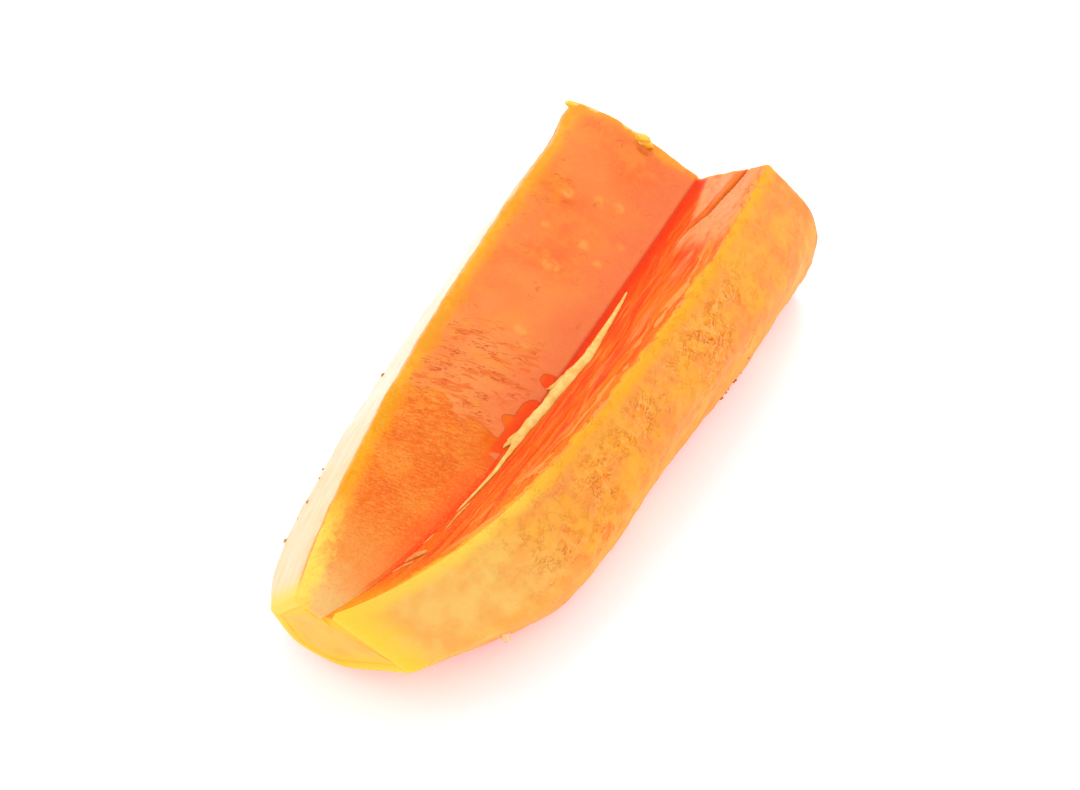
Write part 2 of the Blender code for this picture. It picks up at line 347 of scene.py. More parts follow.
SHEEN_STREAKS = [((18, 50), (2, 8)), ((17.5, 27), (2, 9)), ((14.5, 8), (1.6, 7))]
CORNER_REACH = 2.3  # how far the left corner of the far end stands out
TORN_FROM = -60  # the torn patches of the pared side, along
TORN_TO = 58
LIP_HEIGHT = 0.16  # the face stands up a little beside the strand
BED_DEPTH = 0.30  # and the lining sinks in under it
CREASE_DEPTH = 0.5  # of the bare groove below the strand
CRACK_DEPTH = 1
NICK_DEPTH = 0.4
BODY_SWELL = 0.24  # height of the unevenness of the whole piece
EDGE_WAVE = 0.28  # and of the ridge and the far cut's edge
FACE_RIPPLE = 0.08
DRAG_TEAR = 0.22
LINING_STREAK = 0.08
OUTSIDE_LUMPS = 0.34
WALL_GAP = 40  # how far apart the walls lie in the noise


def flow(facts, over="across"):
    """Places over the surface for noise, with the walls far apart so that no two share it."""
    return np.stack([facts[over], facts["along"], facts["wall"] * WALL_GAP], -1)


def oval(facts, place, size):
    """How far a vertex lies from the middle of an oval spot on the trough's walls: 1 on its edge."""
    across = (facts["across"] - place[0]) / size[0]
    along = (facts["along"] - place[1]) / size[1]
    return np.hypot(across, along)


def blot(facts, place, size):
    """1 in the middle of an oval spot on the trough's walls and 0 outside it."""
    return 1 - step(0.55, 1, oval(facts, place, size))


def drag_band(facts):
    """Where the dragging knife tore the face."""
    first, full, thin, last = DRAG_BAND
    band = step(first, full, facts["along"]) * (1 - step(thin, last, facts["along"]))
    band *= step(1.5, 5, facts["skin"]) * (1 - 0.8 * step(-11, -3, facts["across"]))
    patchy = step(-0.5, 0.3, swells(flow(facts), (15, 8, 20), 2, 17))
    return np.maximum(band * (0.35 + 0.65 * patchy), 0.8 * blot(facts, *FAR_DRAG)) * (facts["wall"] == 0)


def film_way(facts, drag):
    """About how far, in mm, a vertex lies inside the wet film; less than 0 where the film is gone."""
    way = facts["along"] - FILM_END + 7 * swells(flow(facts), (12, 7, 20), 2, 71)
    way = np.minimum(way, 6) - 4.5 * drag
    for place, size in FILM_NOTCHES:
        notch = (oval(facts, place, size) - 1) * min(size) * 1.6
        way = -NOTCH_BLEND * np.logaddexp(-way / NOTCH_BLEND, -notch / NOTCH_BLEND)
    return np.clip(way, -6, 6)


def crack(facts):
    """The open crack in the lining at the far end, and the strip along its left side."""
    away = facts["across"] - np.interp(facts["along"], CRACK_ALONG, CRACK_ACROSS)
    open_share = step(61, 76, facts["along"]) * (facts["wall"] == 1)
    opening = 1 - step(0.3, 1, np.abs(away) / (0.35 + 0.45 * open_share))
    strip = 1 - step(0.5, 1, np.abs(away + CRACK_STRIP) / CRACK_STRIP)
    return opening * open_share, strip * open_share


def sheen(facts):
    """The pale wet membrane on both sides of the crack, partly painted sheen on its wet surface, and paler
    streaks near the rim, also partly painted sheen.
    """
    across, along = facts["across"], facts["along"]
    middle = np.interp(along, CRACK_ALONG, CRACK_ACROSS)
    first = np.interp(along, SHEEN_ALONG, SHEEN_ACROSS)
    last = middle - 2 * CRACK_STRIP
    before = step(first - 0.8, first + 1, across) * (1 - step(last - 0.6, last + 0.4, across))
    after = step(middle + 0.2, middle + 1.2, across) * step(1, 3, facts["skin"])
    patch = np.maximum(before * step(62, 68, along), after * step(54, 64, along))
    streaks = np.max([blot(facts, place, size) for place, size in SHEEN_STREAKS], axis=0)
    return np.maximum(patch, 0.32 * streaks)


def torn_patches(facts):
    """Where the pared right side is torn into short curly fibres."""
    patchy = swells(flow(facts, "past_rim"), (13, 19, 20), 2, 91)
    length = step(TORN_FROM, TORN_FROM + 18, facts["along"])
    length *= 1 - step(TORN_TO - 16, TORN_TO, facts["along"])
    depth = step(2.5, 7, facts["past_rim"]) * (1 - step(24, 34, facts["past_rim"]))
    return step(-0.35, 0.40, patchy) * length * depth


def flesh_masks(facts):
    """Soft shares from 0 to 1 that both the relief and the colours use, by name."""
    drag = drag_band(facts)
    face = facts["wall"] == 0
    spots = np.zeros(facts["along"].shape)
    for place, size in PALE_SPOTS:
        spots = np.maximum(spots, blot(facts, place, (size * 1.25, size)))
    ragged = step(-0.7, 0.1, swells(flow(facts), (2, 4, 20), 3, 83))
    torn_spot = step(-0.5, 0.3, swells(flow(facts), (1.6, 1.6, 20), 2, 87))
    corner = np.where(face, facts["skin"], 0.6 * facts["past_ridge"])
    corner = (1 - step(1, 7, corner)) * (facts["wall"] != 1)
    opening, strip = crack(facts)
    return {
        "drag": drag,
        "film_way": film_way(facts, drag),
        "spots": spots * (0.2 + 0.8 * torn_spot) * face,
        "sheen": sheen(facts) * (0.4 + 0.6 * ragged) * (facts["wall"] == 1),
        "corner": corner * (1 - step(4, 18, facts["from_far"])),
        "crack": opening,
        "strip": strip * ragged,
        "nick": blot(facts, *EDGE_NICK) * face,
        "far_drag": blot(facts, *FAR_DRAG) * face,
        "torn": torn_patches(facts),
    }


def face_relief(facts, masks):
    """The wide face: ripples, torn rows, the film's edge, a nick and the lip at the groove."""
    along = facts["along"]
    ripple = FACE_RIPPLE * swells(flow(facts), (6, 2.6, 20), 3, 111) * (0.3 + step(20, -25, along))
    torn = DRAG_TEAR * masks["drag"] * swells(flow(facts), (5, 1.8, 20), 2, 11)
    film = FILM_THICK * step(-0.8, 0.8, masks["film_way"])
    lip = LIP_HEIGHT * step(-2.6, -0.3, facts["across"]) * step(-8, 12, along)
    return ripple + torn + film + lip - NICK_DEPTH * masks["nick"]


def lining_relief(facts):
    """The wall with the lining: the strand's bed, and streaks that fade out at the rim."""
    along = facts["along"]
    bed = BED_DEPTH * (1 - step(0.4, 3.2, facts["across"])) * step(-10, 12, along)
    streak = swells(flow(facts), (2, 17, 20), 3, 21) * (0.3 + 0.7 * step(-55, -25, along))
    return LINING_STREAK * streak * step(0, 4, facts["skin"]) - bed


def outside_relief(grid, facts, masks):
    """The pared outside: low lumps, and curled roughness that is highest in the torn patches."""
    warp = np.stack([swells(grid, 6, 2, seed) for seed in (31, 41, 51)], -1)
    torn = swells(grid + 3 * warp, 3.6, 3, 61)
    lumps = OUTSIDE_LUMPS * swells(grid, (9, 8, 7), 2, 67) * step(-80, -55, facts["along"])
    rough = 0.05 + 0.10 * step(-55, -30, facts["along"]) + 0.15 * masks["torn"]
    return lumps + torn * rough


def edge_relief(grid, facts):
    """Unevenness along the ridge and round the far cut."""
    past_ridge = np.where(facts["wall"] == 2, facts["past_ridge"], 99)
    from_ridge = np.where(facts["wall"] == 0, facts["skin"], past_ridge)
    edges = np.maximum(1 - step(0, 3, from_ridge), 1 - step(0.5, 3.5, facts["from_far"]))
    return EDGE_WAVE * edges * swells(grid, 4.2, 3, 131)


def flesh_relief(grid, facts, masks):
    """How far each vertex moves out along its normal."""
    walls = (face_relief(facts, masks), lining_relief(facts), outside_relief(grid, facts, masks))
    move = BODY_SWELL * swells(grid, 13, 2, 3) + np.choose(facts["wall"].astype(int), walls)
    crease = (1 - step(0, 0.9, np.abs(facts["across"]))) * (1 - step(-34, -22, facts["along"]))
    move -= CREASE_DEPTH * crease * step(-80, -72, facts["along"])
    move -= CRACK_DEPTH * masks["crack"]
    move += edge_relief(grid, facts)
    move -= end_inset(facts["from_far"], FAR_ROUND)
    move -= end_inset(facts["from_near"], NEAR_ROUND)
    return move


def close_end(points, faces, loop, middle, flip):
    """Fills one end with rings that shrink towards its middle."""
    rim = np.array([points[k] for k in loop])
    previous = list(loop)
    count = len(loop)
    for ring in range(1, CAP_RINGS):
        share = ring / CAP_RINGS
        start = len(points)
        points.extend(rim + (middle - rim) * share)
        current = list(range(start, start + count))
        for k in range(count):
            after = (k + 1) % count
            quad = (previous[k], previous[after], current[after], current[k])
            faces.append(quad[::-1] if flip else quad)
        previous = current
    points.append(middle)
    hub = len(points) - 1
    for k in range(count):
        after = (k + 1) % count
        triangle = (previous[k], previous[after], hub)
        faces.append(triangle[::-1] if flip else triangle)


def grid_faces(rows, columns):
    """Quads between neighbouring rows of a grid that closes on itself round the piece."""
    faces = []
    for r in range(rows - 1):
        for c in range(columns):
            after = (c + 1) % columns
            low, high = r * columns, (r + 1) * columns
            faces.append((low + c, high + c, high + after, low + after))
    return faces


def hose_faces(rows, sides):
    """Faces of a closed hose; its points end with the hubs of its first and last ring."""
    faces = grid_faces(rows, sides)
    first_hub, last_hub = rows * sides, rows * sides + 1
    last_row = (rows - 1) * sides
    for k in range(sides):
        after = (k + 1) % sides
        faces.append((k, after, first_hub))
        faces.append((last_row + after, last_row + k, last_hub))
    return faces


def build_mesh(name, points, faces):
    data = bpy.data.meshes.new(name)
    data.from_pydata([tuple((p + SET_DOWN) * MM) for p in points], [], faces)
    data.update()
    return data


def add_piece(name, data, material):
    piece = bpy.data.objects.new(name, data)
    bpy.context.scene.collection.objects.link(piece)
    data.materials.append(material)
    data.shade_smooth()
    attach(piece, "root")
    return piece


def add_attribute(data, name, values):
    layer = data.attributes.new(name, "FLOAT", "POINT")
    layer.data.foreach_set("value", np.asarray(values, np.float32))


def cap_skin(ring):
    """How far each point of a closed end lies from its edge, in the order that it was closed."""
    reach = np.linalg.norm(ring - ring.mean(0), axis=1)
    rings = np.arange(1, CAP_RINGS)[:, None] / CAP_RINGS
    return np.append(rings * reach, reach.mean())


def flesh_piece(material):
    sections = Sections()
    grid = soften(sections.grid())
    facts = measures(sections, grid)
    masks = flesh_masks(facts)
    shaped = grid + flesh_relief(grid, facts, masks)[..., None] * grid_normals(grid)
    shaped[..., 0] -= CORNER_REACH * masks["corner"]
    shaped[0, :, 1] = FAR_Y
    shaped[..., 2] = np.maximum(shaped[..., 2], -SET_DOWN[2])
    rows, columns = shaped.shape[:2]
    points = list(shaped.reshape(-1, 3))
    faces = grid_faces(rows, columns)
    close_end(points, faces, range(columns), shaped[0].mean(0), flip=False)
    close_end(points, faces, range((rows - 1) * columns, rows * columns), shaped[-1].mean(0), flip=True)
    data = build_mesh("papaya_flesh_dressed", points, faces)
    caps = np.concatenate([cap_skin(shaped[0]), cap_skin(shaped[-1])])
    wall = facts.pop("wall")
    shares = {"lining": wall == 1, "outside": wall == 2}
    for key, values in {**facts, **masks, **shares}.items():
        add_attribute(data, key, np.append(values, caps * (key == "skin")))
    sizes = (rows * columns, len(caps) // 2, len(caps) // 2)
    add_attribute(data, "far_cut", np.repeat([0, 1, 0], sizes))
    add_attribute(data, "blunt_cut", np.repeat([0, 0, 1], sizes))
    piece = add_piece("papaya_flesh_dressed", data, material)
    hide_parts("papaya_flesh")
    return piece


# --- small pieces ---

# Tracks over the trough: across and along of each point, its height over the wall and its radius.
STRAND = [
    (3.2, 41.5, 0.1, 0.20),
    (4, 37.8, 0.2, 0.45),
    (5.3, 25.8, 0.4, 0.85),
    (6.4, 14, 0.5, 1.50),
    (4.8, 5.6, 0.6, 1.90),
    (3.6, -5, 0.6, 1.40),
    (2.7, -12.5, 0.6, 1.55),
    (2.3, -17.6, 0.6, 1.60),
    (2.9, -19.4, 0.5, 0.75),
    (3.1, -24, 0.5, 0.60),
    (3.4, -28.8, 0.4, 0.50),
    (2.4, -37.4, 0.3, 0.35),
    (1.4, -44, 0.1, 0.15),
]
SPURS = [
    [(3.9, 7, 0.6, 1.2), (2, 4.6, 0.6, 1), (-1.2, 2.2, 0.4, 0.06)],
    [(2, -14.6, 0.6, 1.1), (0.4, -16.8, 0.7, 1), (-0.7, -18.6, 0.4, 0.6), (-0.8, -20, 0.2, 0.2)],
    [(1.6, -6, 0.5, 0.15), (0.8, -9.5, 0.9, 0.35), (0.8, -13.4, 0.6, 0.15)],
]
FIBRES = [
    [(3.6, -40.5, 0.1, 0.12), (3.4, -44.5, 0.3, 0.30), (3.3, -48, 0.2, 0.22), (3.7, -52, 0.1, 0.1)],
    [(5.4, -60, 0.1, 0.3), (4, -61.4, 0.5, 0.85), (2.4, -62.8, 0.3, 0.6), (1.4, -64.2, 0.1, 0.15)],
    [(4.4, -64.2, 0.1, 0.15), (2.8, -66, 0.2, 0.3), (1.2, -68.5, 0.1, 0.12)],
    [(1, -52.5, 0.1, 0.12), (1.5, -54.5, 0.3, 0.35), (0.9, -57, 0.1, 0.12)],
]
TUBE_SIDES = 14
TUBE_POINT_GAP = 0.5


def wall_place(across, along, height):
    """The point at this height over a trough wall, and the wall's normal there."""
    slope = np.where(across < 0, -FACE_SLOPE, LINING_SLOPE)
    x = groove_x(along) + across * np.cos(slope)
    z = groove_z(along) + across * np.sin(slope)
    return np.stack([x - height * np.sin(slope), along, z + height * np.cos(slope)], -1)


def tube(track, seed, flatness=0.45):
    """Points and faces of a ragged tapering strand along a track over the trough."""
    knots = np.array(track)
    reach = np.linalg.norm(np.diff(knots[:, :2], axis=0), axis=1)
    way = np.concatenate([[0], np.cumsum(reach)])
    at = np.linspace(0, way[-1], max(8, int(way[-1] / TUBE_POINT_GAP)))
    across, along, height, radius = (np.interp(at, way, knots[:, k]) for k in range(4))
    kernel = np.array([1, 2, 3, 2, 1]) / 9
    for values in (across, height, radius):
        values[2:-2] = np.convolve(values, kernel, "valid")
    middle = wall_place(across, along, height)
    forward = np.gradient(middle, axis=0)
    forward /= np.linalg.norm(forward, axis=1, keepdims=True)
    side = np.cross(forward, [0, 0, 1])
    side /= np.linalg.norm(side, axis=1, keepdims=True)
    up = np.cross(side, forward)
    turn = np.arange(TUBE_SIDES) / TUBE_SIDES * math.tau
    round_it = np.stack(np.broadcast_arrays(at[:, None], 2 * np.cos(turn), 2 * np.sin(turn)), -1)
    ragged = 1 + 0.30 * swells(round_it, (3.2, 1.1, 1.1), 3, seed)
    size = radius[:, None] * ragged
    ring = side[:, None] * (size * np.cos(turn))[..., None]
    ring = ring + up[:, None] * (size * flatness * np.sin(turn))[..., None]
    points = list((middle[:, None] + ring).reshape(-1, 3)) + [middle[0], middle[-1]]
    return points, hose_faces(len(at), TUBE_SIDES)


LUMPS = {
    "far_edge_flake": ((-15.4, 89.8, 38.3), (3, 1.7, 1.5)),
    "corner_flap": ((-37.2, 89.9, 41.9), (2.9, 1.2, 0.5)),
    "hanging_blob": ((22.6, -60.6, 14.9), (1.3, 1.15, 1.55)),
}
# Crumbs that cling to the outside, by side: degrees round the axis, along and radius.
CRUMBS = {
    "right": [
        (-8.5, 47.6, 0.3), (-22.6, 49.8, 0.32), (-23.8, 47.4, 0.4), (-23.2, 46.2, 0.3),
        (-24.4, 43.9, 0.26), (-24, 42.3, 0.36), (-24.5, 40.2, 0.42), (-23.6, 39.4, 0.28),
    ],
    "left": [
        (177.5, -9.3, 0.42), (187, -51.3, 0.4), (194.2, -62.1, 0.5),
        (190, -56, 0.25), (187, -43.1, 0.28), (190.5, -38.6, 0.3),
    ],
}
CRUMB_SINK = 0.4  # share of a crumb that is in the flesh
CRUMB_STRETCH = 1.3
LUMP_RINGS = 20
LUMP_SIDES = 28


def crumb_place(degrees, y, radius):
    """A crumb's middle, just over the outside."""
    x, z = outside_point(math.radians(degrees), y)
    out = np.array([x - axis_x(y), 0, z - AXIS_Z])
    return np.array([x, y, z]) + out / np.linalg.norm(out) * radius * (1 - 2 * CRUMB_SINK)


def lump(place, size, seed, roughness=0.4):
    """Points and faces of a small uneven lump."""
    tilt = np.linspace(0, math.pi, LUMP_RINGS)[1:-1, None]
    turn = (np.arange(LUMP_SIDES) / LUMP_SIDES * math.tau)[None]
    ball = np.stack([np.sin(tilt) * np.cos(turn), np.sin(tilt) * np.sin(turn), np.cos(tilt) + 0 * turn], -1)
    ball *= (1 + roughness * swells(ball, 0.8, 3, seed))[..., None]
    middle = np.array(place)
    poles = [middle + np.array([0, 0, size[2]]), middle - np.array([0, 0, size[2]])]
    points = list((middle + ball * size).reshape(-1, 3)) + poles
    return points, hose_faces(LUMP_RINGS - 2, LUMP_SIDES)


def add_joined(name, shapes, material):
    """One piece from several closed shapes."""
    points, faces = [], []
    for more_points, more_faces in shapes:
        start = len(points)
        points.extend(more_points)
        faces.extend(tuple(start + k for k in face) for face in more_faces)
    return add_piece(name, build_mesh(name, points, faces), material)


# --- materials ---

STUDIO_LIGHT = (1.33, 1.38, 1.4)  # how brightly the studio lights a level surface, by channel
STUDIO_GLOSS = 0.032  # and the white that its surface reflects


def shown(red, green, blue, lit=1):
    """The base colour that shows as this sRGB colour where this share of the studio light falls; a share
    below 1 brightens it, as painted light against the shade there.
    """
    def base(value, light):
        value /= 255
        linear = value / 12.92 if value <= 0.04045 else ((value + 0.055) / 1.055) ** 2.4
        return min(0.97, max(0, (linear - STUDIO_GLOSS) / (light * lit)))
    return (*map(base, (red, green, blue), STUDIO_LIGHT), 1)


class Nodes:
    """Short calls for the nodes that a material is made of. A value is a number or a socket."""

    def __init__(self, name):
        self.material = bpy.data.materials.new(name)
        self.material.use_nodes = True
        self.tree = self.material.node_tree
        self.shader = self.tree.nodes["Principled BSDF"]

    def fill(self, inputs, values):
        """Sets or links inputs by name or number."""
        for key, value in values.items():
            if hasattr(value, "is_linked"):
                self.tree.links.new(value, inputs[key])
            else:
                inputs[key].default_value = value

    def shade(self, values):
        """The finished material, with these values on its shader."""
        self.fill(self.shader.inputs, values)
        return self.material

    def node(self, kind, values, **settings):
        made = self.tree.nodes.new("ShaderNode" + kind)
        for name, setting in settings.items():
            setattr(made, name, setting)
        self.fill(made.inputs, values)
        return made

    def fact(self, name):
        """A measure or a share that each vertex carries."""
        return self.node("Attribute", {}, attribute_name=name).outputs["Fac"]

    def place(self):
        return self.node("TexCoord", {}).outputs["Object"]

    def vector(self, x, y):
        return self.node("CombineXYZ", {0: x, 1: y}).outputs[0]

    def maths(self, kind, first, second=0):
        return self.node("Math", {0: first, 1: second}, operation=kind).outputs[0]

    def times(self, *values):
        return reduce(lambda first, second: self.maths("MULTIPLY", first, second), values)

    def plus(self, *values):
        return reduce(lambda first, second: self.maths("ADD", first, second), values)

    def linear(self, value, slope, start):
        return self.plus(self.times(value, slope), start)

    def weighed(self, first, weight, second, other_weight):
        return self.plus(self.times(first, weight), self.times(second, other_weight))

    def rest(self, share):
        """What a share leaves of 1."""
        return self.maths("SUBTRACT", 1, share)

    def ramp(self, value, low, high):
        """0 at low and 1 at high, eased, also where low is the larger."""
        start = float(low > high)
        values = {"Value": value, "From Min": min(low, high), "From Max": max(low, high)}
        values |= {"To Min": start, "To Max": 1 - start}
        return self.node("MapRange", values, interpolation_type="SMOOTHSTEP").outputs["Result"]

    def noise(self, vector, scale=1, detail=3, rough=0.5, distortion=0):
        values = {"Vector": vector, "Scale": scale, "Detail": detail, "Roughness": rough}
        return self.node("TexNoise", {**values, "Distortion": distortion}).outputs["Fac"]

    def lines(self, value, width):
        """1 along the thin lines where noise passes through its middle value."""
        return self.ramp(self.maths("ABSOLUTE", self.plus(value, -0.5)), width, 0)

    def uneven(self, noise, height):
        """Noise as a length about 0."""
        return self.times(self.plus(noise, -0.5), height)

    def ragged(self, length, noise, height):
        return self.plus(length, self.uneven(noise, height))

    def mix(self, share, first, second):
        """Two colours mixed. One that is given by numbers is the sRGB colour that should show."""
        node = self.node("Mix", {"Factor": share}, data_type="RGBA")
        colours = [shown(*c) if isinstance(c, tuple) else c for c in (first, second)]
        self.fill([s for s in node.inputs if s.type == "RGBA"], dict(enumerate(colours)))
        return [s for s in node.outputs if s.type == "RGBA"][0]

    def layered(self, colour, *coats):
        """A colour under coats, each a colour and the shares whose product is how much it covers."""
        for coat, *shares in coats:
            colour = self.mix(self.times(*shares), colour, coat)
        return colour

    def bump(self, height, strength, distance, under=None):
        values = {"Height": height, "Strength": strength, "Distance": distance}
        if under is not None:
            values["Normal"] = under
        return self.node("Bump", values).outputs["Normal"]


class FleshLook(Nodes):
    """The flesh's material, with a method for each face of the piece."""

    def __init__(self):
        super().__init__("papaya_flesh_look")
        for name in ("across", "along", "skin", "past_rim", "past_ridge", "drag", "torn"):
            setattr(self, name, self.fact(name))
        self.spot = self.place()
        self.broad = self.noise(self.spot, 50, 2)
        self.blotch = self.noise(self.spot, 130)
        self.fine_blotch = self.noise(self.spot, 420, 3, 0.6)
        self.grain = self.noise(self.spot, 1500, 3, 0.7)
        self.curls = self.noise(self.spot, 280, 3, 0.55, 2.4)
        self.brushed = self.noise(self.turned(0.5, 1.7), 1, 4, 0.65)
        self.ragged_skin = self.ragged(self.skin, self.blotch, 7)
        wander = self.uneven(self.noise(self.spot, 70, 2), 5)
        self.streak = self.noise(self.flow(0.6, 0.045, wander), 1, 4)
        self.thin_streak = self.noise(self.flow(1.2, 0.10, wander), 1, 3, 0.6, 0.5)
        self.film_reach = self.plus(self.fact("film_way"), self.film_wave())
        self.film = self.ramp(self.film_reach, -0.4, 0.4)
        low = self.times(self.ramp(self.across, -9, -5.5), self.ramp(self.along, -30, -20))
        self.bay = self.times(low, self.rest(self.film))
        slant = self.weighed(self.past_rim, 0.8, self.along, 0.3)
        self.fibres = self.noise(self.vector(slant, self.times(self.along, 0.22)), 1, 3, 0.6, 1.4)
        self.hairs = self.torn_hairs()
        self.ticks, self.smears = self.drag_marks()

    def flow(self, across, along, wander):
        """Coordinates over the trough's walls, in features for each millimetre."""
        over = self.times(self.plus(self.across, wander), across)
        return self.vector(over, self.times(self.along, along))

    def turned(self, over, square):
        """The same, turned to the way that the knife dragged over the wide face."""
        cos, sin = math.cos(DRAG_TURN), math.sin(DRAG_TURN)
        way = self.weighed(self.across, cos, self.along, sin)
        side = self.weighed(self.along, cos, self.across, -sin)
        return self.vector(self.times(way, over), self.times(side, square))

    def film_wave(self):
        """How far the film's border wanders, less so near the groove."""
        calm = self.linear(self.ramp(self.across, -5, -12), 0.88, 0.12)
        return self.times(self.uneven(self.noise(self.turned(0.15, 0.62), 1, 5, 0.6), 12), calm)

    def drag_marks(self):
        """Rows of short ticks, and wider smears of deeper orange, where the knife dragged."""
        drag = self.ramp(self.drag, 0.05, 0.35)
        rows = self.ramp(self.noise(self.turned(0.08, 0.30), 1, 2), 0.47, 0.55)
        ticks = self.ramp(self.noise(self.turned(0.34, 1.3), 1, 2, 0.6, 1.2), 0.55, 0.61)
        ticks = self.times(ticks, rows, drag, self.linear(self.film, 0.5, 0.5))
        curved = self.lines(self.noise(self.spot, 300, 1, 0.5, 0.6), 0.05)
        few = self.ramp(self.noise(self.spot, 210, 1), 0.64, 0.70)
        ticks = self.maths("MAXIMUM", ticks, self.times(curved, few, 0.5))
        smears = self.ramp(self.noise(self.turned(0.12, 0.50), 1, 3, 0.6, 0.8), 0.54, 0.60)
        return ticks, self.times(smears, drag)

    def torn_hairs(self):
        """Curly torn fibres on the pared side."""
        hairs = self.maths("MAXIMUM", self.lines(self.curls, 0.035), self.lines(self.fibres, 0.035))
        broken = self.ramp(self.noise(self.spot, 330, 2), 0.47, 0.55)
        return self.times(hairs, broken, self.linear(self.torn, 0.6, 0.4), self.ramp(self.along, -76, -40))

    def film_and_sheen_colour(self, cloud):
        """The wet face under a painted sheen, the pale pink reflection of its wet film; paler in its middle
        as painted light against the shade there, and pinker beside the groove.
        """
        broad = self.ramp(self.broad, 0.35, 0.65)
        return self.layered(
            self.mix(broad, (252, 126, 64), (253, 144, 76)),
            # painted light: paler towards the middle of the face, to make up for the shade there
            (self.mix(broad, (252, 142, 76), (253, 158, 86)), self.ramp(self.along, 45, 5)),
            ((253, 158, 70), self.ramp(cloud, 0.46, 0.66), 0.6),
            # painted sheen: pinker beside the groove
            ((252, 128, 84), self.ramp(self.across, -16, -2), 0.55),
        )

    def matt_colour(self):
        """The brushed face where the film is gone, and the bare red in the film's bays."""
        # painted light: the red nearest the groove is made brighter to make up for the shade there
        bare = self.mix(self.ramp(self.across, -2.2, -4.2), (253, 92, 22, 0.9), (253, 126, 26))
        return self.layered(
            self.mix(self.ramp(self.blotch, 0.38, 0.66), (250, 122, 40), (253, 152, 62)),
            ((253, 168, 88), self.ramp(self.brushed, 0.45, 0.62), 0.45),
            ((242, 112, 34), self.ramp(self.brushed, 0.50, 0.38), 0.4),
            (bare, self.bay),
        )

    def face_colour(self):
        """The wide face with its marks and its ragged yellow borders."""
        cloud = self.weighed(self.blotch, 0.6, self.fine_blotch, 0.4)
        border = self.lines(self.linear(self.film_reach, 0.5, 0.5), 0.16)
        inner = self.times(self.ramp(self.across, -12, -7), self.ramp(self.along, -26, -18))
        dabs = self.ramp(self.noise(self.turned(0.16, 0.31), 1, 2), 0.60, 0.68)
        tip = self.ragged(self.along, self.blotch, 16)
        far = self.ragged(self.fact("from_far"), cloud, 12)
        skin = self.ragged(self.skin, cloud, 14)
        edge = self.mix(self.ramp(cloud, 0.42, 0.58), (251, 158, 34), (252, 184, 50))
        edge = self.mix(self.ramp(self.along, -50, -74), edge, (254, 230, 104))
        return self.layered(
            self.mix(self.film, self.matt_colour(), self.film_and_sheen_colour(cloud)),
            ((222, 84, 24), border, inner, 0.7),
            # painted light: the red blush beside the lower groove is made brighter against the shade there
            ((253, 104, 56, 0.75), self.ramp(self.across, -8, -0.5), self.ramp(self.along, -24, -38), 0.9),
            ((246, 120, 30), self.smears, 0.75),
            ((252, 166, 60), dabs, self.drag, 0.6),
            ((224, 98, 6), self.ticks, 0.9),
            ((253, 180, 88), self.fact("spots"), 0.75),
            ((252, 172, 90), self.ramp(tip, -54, -72), 0.7),
            ((253, 206, 130), self.ramp(tip, -72, -86)),
            ((252, 176, 58), self.ramp(far, 4.5, 0.5), 0.85),
            ((251, 150, 34), self.fact("far_drag"), self.ramp(cloud, 0.38, 0.56), 0.6),
            (edge, self.ramp(skin, 6, 1.6)),
            ((242, 172, 34), self.ramp(skin, 2.2, 0.8), self.ramp(self.along, -66, -50), 0.75),
            ((254, 222, 140), self.ramp(far, 0.9, 0.3), self.ramp(self.across, -17, -21), 0.8),
            ((240, 122, 30), self.fact("nick"), 0.9),
        )

    def lining_colour(self):
        """The streaked wall, red beside the groove, with a pale membrane round the crack that is partly
        painted sheen, and pale streaks that are partly painted highlights.
        """
        mottle = self.times(self.ramp(self.fine_blotch, 0.60, 0.40), 0.25)
        # the membrane round the crack: its own pale colour with painted sheen on its wet surface
        membrane_and_sheen = self.mix(mottle, (251, 176, 118), (244, 146, 80))
        membrane_and_sheen = self.layered(membrane_and_sheen, ((236, 134, 60), self.lines(self.curls, 0.03), 0.5))
        ragged = self.ragged(self.ragged_skin, self.fine_blotch, 3)
        dark_line = self.lines(self.linear(ragged, 0.1, 0.26), 0.045)
        bits = self.vector(self.times(self.skin, 0.32), self.times(self.along, 0.085))
        bits = self.noise(bits, 1, 2, 0.5, 0.5)
        near_rim = self.times(self.ramp(self.skin, 9, 5), self.ramp(self.along, -66, -50))
        lip = self.ragged(self.fact("from_far"), self.fine_blotch, 2)
        near = self.times(self.ramp(self.along, -22, -30), self.ramp(self.along, -82, -70))
        return self.layered(
            self.mix(self.ramp(self.streak, 0.36, 0.64), (251, 82, 14), (252, 116, 26)),
            ((252, 140, 48), self.ramp(self.skin, 17, 5), self.ramp(self.streak, 0.30, 0.60), 0.7),
            ((252, 78, 10), self.ramp(self.across, 7, 2.5), self.ramp(self.along, -25, 5)),
            # pale streaks: partly paler fibres, partly painted highlights on the wet lining
            ((252, 160, 72), self.ramp(self.thin_streak, 0.54, 0.66), self.ramp(self.across, 1, 9), 0.6),
            ((240, 80, 10), self.ramp(self.thin_streak, 0.45, 0.36), 0.5),
            (membrane_and_sheen, self.fact("sheen"), 0.95),
            ((248, 134, 44), self.fact("strip"), 0.75),
            ((252, 150, 40), self.ramp(self.ragged_skin, 6, 1), 0.45),
            ((238, 120, 16), dark_line, 0.6),
            ((253, 184, 60), self.ramp(ragged, 2.4, 0.6)),
            ((252, 166, 88), self.ramp(bits, 0.54, 0.56), near_rim),
            ((232, 104, 18), self.lines(self.plus(bits, -0.035), 0.016), near_rim, 0.8),
            ((253, 186, 70), self.ramp(lip, 1.8, 0.6), 0.8),
            ((252, 160, 50), self.ramp(self.along, -66, -84)),
            # painted light: the crevice's red is made brighter against the shade in the crevice
            ((236, 76, 30, 0.7), self.ramp(self.across, 1.4, 0.5), near, 0.85),
            ((206, 92, 20), self.fact("crack")),
        )

